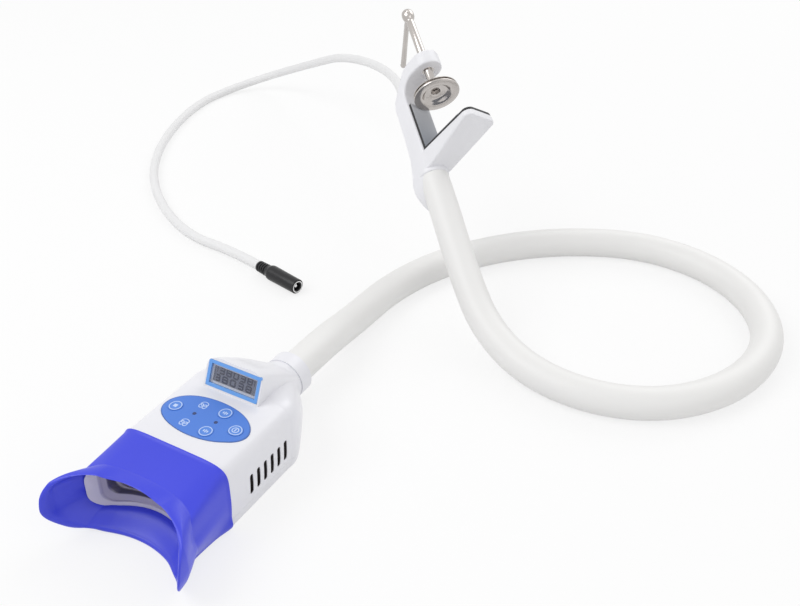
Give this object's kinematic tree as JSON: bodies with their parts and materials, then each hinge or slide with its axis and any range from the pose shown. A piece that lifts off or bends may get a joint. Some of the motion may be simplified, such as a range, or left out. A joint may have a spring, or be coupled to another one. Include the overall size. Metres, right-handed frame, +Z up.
{
  "type": "teeth whitening lamp",
  "caption": "Tooth whitening lamp head with a control panel, display pod and blue mouthpiece, on a white gooseneck arm with a screw clamp and a low-voltage lead.",
  "frame": {"origin": "on the table, on the flat underside of the lamp head, under the centre of its control panel", "axes": "+X towards the head's right side, +Y from the mouthpiece towards the neck, +Z up"},
  "size_m": [0.5648, 0.5301, 0.1572],
  "materials": {
    "housing_white": "glossy moulded plastic",
    "panel_blue": "printed membrane",
    "key_blue": "printed membrane key",
    "lamp_dark": "dark lens",
    "bezel_blue": "glossy plastic",
    "display_clear": "clear plastic",
    "display_dark": "display module",
    "window_clear": "clear plastic",
    "tray_clear": "clear frosted plastic",
    "reflector_silver": "metallised plastic",
    "board_green": "coated circuit board",
    "chip_blue": "light chip lens",
    "sink_aluminium": "extruded",
    "black_plastic": "moulded plastic",
    "screw_steel": "zinc plated",
    "silicone_blue": "satin silicone",
    "sleeve_white": "satin soft plastic",
    "core_steel": "wound steel",
    "clamp_white": "white powder coat",
    "liner_black": "soft rubber",
    "plated_steel": "nickel plated",
    "socket_black": "moulded plastic",
    "cable_white": "soft sheath",
    "contact_silver": "silver plated contact"
  },
  "bodies": {
    "head": {"upper_housing": "housing_white", "bottom_cover": "housing_white", "control_panel": "panel_blue", "signal_lamps": "lamp_dark", "display_bezel": "bezel_blue", "display_glass": "display_clear", "display_module": "display_dark", "front_window": "window_clear", "reflector": "reflector_silver", "light_board": "board_green", "light_chips": "chip_blue", "heat_sink": "sink_aluminium", "sink_screws": "screw_steel", "main_board": "board_green", "key_switches": "black_plastic", "buzzer": "black_plastic", "fan_frame": "black_plastic", "cover_screws": "screw_steel", "board_screws": "screw_steel", "neck_ferrule": "screw_steel", "neck_nut": "screw_steel", "sleeve_0": "sleeve_white", "core_0": "core_steel"},
    "timer_key": {"key_timer": "key_blue"},
    "mode_key": {"key_mode": "key_blue"},
    "cold_key": {"key_cold": "key_blue"},
    "power_key": {"key_power": "key_blue"},
    "fan": {"fan_rotor": "black_plastic"},
    "mouthpiece": {"mouth_cover": "silicone_blue", "clear_tray": "tray_clear"},
    "arm_1": {"sleeve_1": "sleeve_white", "core_1": "core_steel"},
    "arm_2": {"sleeve_2": "sleeve_white", "core_2": "core_steel"},
    "arm_3": {"sleeve_3": "sleeve_white", "core_3": "core_steel"},
    "arm_4": {"sleeve_4": "sleeve_white", "core_4": "core_steel"},
    "arm_5": {"sleeve_5": "sleeve_white", "core_5": "core_steel"},
    "clamp": {"sleeve_6": "sleeve_white", "core_6": "core_steel", "clamp_bracket": "clamp_white", "jaw_liner": "liner_black", "lug_bushing": "plated_steel", "arm_spigot": "screw_steel", "lead_boot": "cable_white", "power_cable": "cable_white", "socket_relief": "socket_black", "socket_body": "socket_black", "socket_ring": "contact_silver", "socket_liner": "socket_black", "socket_pin": "contact_silver"},
    "pad": {"pressure_pad": "plated_steel"},
    "screw": {"clamp_screw": "plated_steel", "pad_retainer": "plated_steel"},
    "bar": {"tommy_bar": "plated_steel", "bar_ends": "plated_steel"}
  },
  "joints": [
    {"name": "press_timer", "type": "slide", "parent": "head", "child": "timer_key", "axis": [0, 0, -1], "range_m": [0, 0.0005], "stiffness_N_per_m": 1500, "springref_m": -0.0004},
    {"name": "press_mode", "type": "slide", "parent": "head", "child": "mode_key", "axis": [0, 0, -1], "range_m": [0, 0.0005], "stiffness_N_per_m": 1500, "springref_m": -0.0004},
    {"name": "press_cold", "type": "slide", "parent": "head", "child": "cold_key", "axis": [0, 0, -1], "range_m": [0, 0.0005], "stiffness_N_per_m": 1500, "springref_m": -0.0004},
    {"name": "press_power", "type": "slide", "parent": "head", "child": "power_key", "axis": [0, 0, -1], "range_m": [0, 0.0005], "stiffness_N_per_m": 1500, "springref_m": -0.0004},
    {"name": "fan_spin", "type": "hinge", "parent": "head", "child": "fan", "pos_m": [0, -0.004, 0.0218], "axis": [0, 1, 0], "continuous": true},
    {"name": "mouthpiece_pull", "type": "slide", "parent": "head", "child": "mouthpiece", "axis": [0, -1, 0], "range_m": [0, 0.04]},
    {"name": "bend_1", "type": "hinge", "parent": "head", "child": "arm_1", "pos_m": [0, 0.09303, 0.022], "axis": [0, 0, 1], "range_deg": [-30, 30]},
    {"name": "bend_2", "type": "hinge", "parent": "arm_1", "child": "arm_2", "pos_m": [-0.00552, 0.17311, 0.01049], "axis": [0.9998, -0.02, 0], "range_deg": [-20, 20]},
    {"name": "bend_3", "type": "hinge", "parent": "arm_2", "child": "arm_3", "pos_m": [0.05509, 0.29609, 0.01], "axis": [0, 0, 1], "range_deg": [-10, 12]},
    {"name": "bend_4", "type": "hinge", "parent": "arm_3", "child": "arm_4", "pos_m": [0.22793, 0.23551, 0.01], "axis": [-0.9927, 0.1208, 0], "range_deg": [0, 15]},
    {"name": "bend_5", "type": "hinge", "parent": "arm_4", "child": "arm_5", "pos_m": [0.13501, 0.15556, 0.01033], "axis": [0.0705, 0.9975, 0], "range_deg": [0, 25]},
    {"name": "bend_6", "type": "hinge", "parent": "arm_5", "child": "clamp", "pos_m": [0.03124, 0.2141, 0.04848], "axis": [0.6781, 0.735, 0], "range_deg": [0, 20]},
    {"name": "pad_travel", "type": "slide", "parent": "clamp", "child": "pad", "axis": [0.6549, -0.587, -0.476], "range_m": [-0.012, 0.03]},
    {"name": "screw_turn", "type": "hinge", "parent": "pad", "child": "screw", "pos_m": [-0.02573, 0.284, 0.12265], "axis": [0.6549, -0.587, -0.476], "range_deg": [-4325, 10805]},
    {"name": "bar_slide", "type": "slide", "parent": "screw", "child": "bar", "axis": [0.2888, -0.3876, 0.8754], "range_m": [0, 0.047]}
  ],
  "couplings": [
    {"joint": "screw_turn", "follows": "pad_travel", "rad_per_m": 6283.2}
  ]
}
